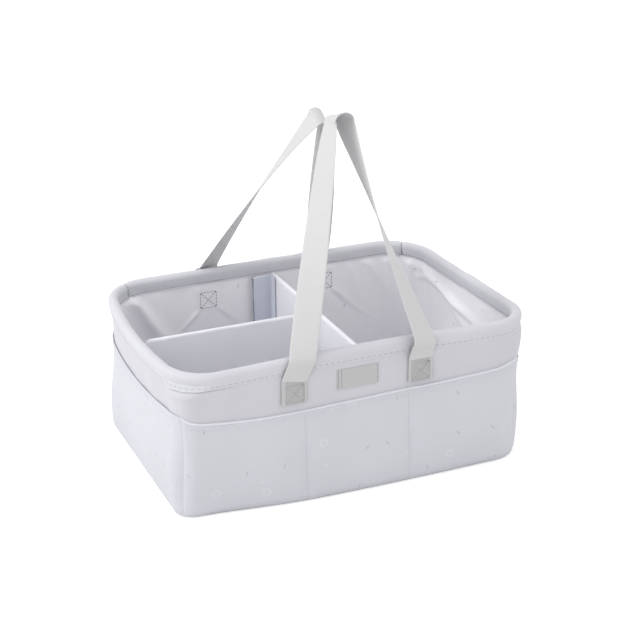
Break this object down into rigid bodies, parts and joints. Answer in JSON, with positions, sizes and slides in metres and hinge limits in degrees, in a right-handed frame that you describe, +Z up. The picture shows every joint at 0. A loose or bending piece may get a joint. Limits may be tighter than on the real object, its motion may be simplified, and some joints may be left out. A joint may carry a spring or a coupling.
{
  "type": "diaper caddy",
  "caption": "Open padded fabric basket with a rolled rim, outside pockets, webbing carry handles and a lift-out divider held by hook-and-loop flaps.",
  "frame": {"origin": "centre of the underside of the base, on the surface it stands on", "axes": "+X along the length towards the end without the long divider, +Y from the label wall towards the opposite wall, +Z up"},
  "size_m": [0.381, 0.2738, 0.3528],
  "materials": {
    "outer_fabric": "smooth coated polyester, cool pale grey",
    "pocket_fabric": "smooth coated polyester with a sparse small print",
    "lining_fabric": "satin polyester, lightly crinkled",
    "rim_fabric": "smooth coated polyester over a padded roll",
    "foam": "open-cell foam sheet",
    "stiff_board": "grey-brown pressed board",
    "webbing": "ribbed woven webbing, neutral pale grey",
    "label": "woven label, grey, blank",
    "divider_fabric": "satin polyester over a stiff board",
    "flap_fabric": "satin polyester, blue-grey",
    "hook_and_loop": "hook-and-loop tape"
  },
  "bodies": {
    "basket": {"outer_panel_front": "outer_fabric", "outer_panel_right": "outer_fabric", "outer_panel_back": "outer_fabric", "outer_panel_left": "outer_fabric", "outer_base": "outer_fabric", "wall_foam_front": "foam", "wall_foam_right": "foam", "wall_foam_back": "foam", "wall_foam_left": "foam", "lining_front": "lining_fabric", "lining_right": "lining_fabric", "lining_back": "lining_fabric", "lining_left": "lining_fabric", "lining_floor": "lining_fabric", "base_board": "stiff_board", "rim_binding_front": "rim_fabric", "rim_binding_back": "rim_fabric", "rim_foam": "foam", "pocket_panel_front": "pocket_fabric", "pocket_panel_right": "pocket_fabric", "pocket_panel_back": "pocket_fabric", "pocket_panel_left": "pocket_fabric", "label_patch": "label", "front_left_tab": "webbing", "front_right_tab": "webbing", "back_left_tab": "webbing", "back_right_tab": "webbing", "back_loop_tape": "hook_and_loop", "front_loop_tape": "hook_and_loop", "left_loop_tape": "hook_and_loop"},
    "front_handle": {"front_handle": "webbing"},
    "back_handle": {"back_handle": "webbing"},
    "cross_divider": {"cross_divider_cover": "divider_fabric", "cross_divider_board": "stiff_board"},
    "long_divider": {"long_divider_cover": "divider_fabric", "long_divider_board": "stiff_board"},
    "back_flap": {"back_flap": "flap_fabric", "back_hook_tape": "hook_and_loop"},
    "front_flap": {"front_flap": "flap_fabric", "front_hook_tape": "hook_and_loop"},
    "left_flap": {"left_flap": "flap_fabric", "left_hook_tape": "hook_and_loop"}
  },
  "joints": [
    {"name": "front_handle_swing", "type": "hinge", "parent": "basket", "child": "front_handle", "pos_m": [0, -0.131, 0.131], "axis": [1, 0, 0], "range_deg": [0, 140]},
    {"name": "back_handle_swing", "type": "hinge", "parent": "basket", "child": "back_handle", "pos_m": [0, 0.131, 0.131], "axis": [-1, 0, 0], "range_deg": [0, 140]},
    {"name": "divider_lift", "type": "slide", "parent": "basket", "child": "cross_divider", "axis": [0, 0, 1], "range_m": [0, 0.15]},
    {"name": "long_divider_swing", "type": "hinge", "parent": "cross_divider", "child": "long_divider", "pos_m": [0.0066, 0.003, 0.07], "axis": [0, 0, 1], "range_deg": [0, 30]},
    {"name": "back_flap_peel", "type": "hinge", "parent": "cross_divider", "child": "back_flap", "pos_m": [0.00935, 0.11805, 0.07], "axis": [0, 0, 1], "range_deg": [0, 70]},
    {"name": "front_flap_peel", "type": "hinge", "parent": "cross_divider", "child": "front_flap", "pos_m": [0.00935, -0.11805, 0.07], "axis": [0, 0, -1], "range_deg": [0, 70]},
    {"name": "left_flap_peel", "type": "hinge", "parent": "long_divider", "child": "left_flap", "pos_m": [-0.17305, 0.00035, 0.07], "axis": [0, 0, 1], "range_deg": [0, 70]}
  ]
}
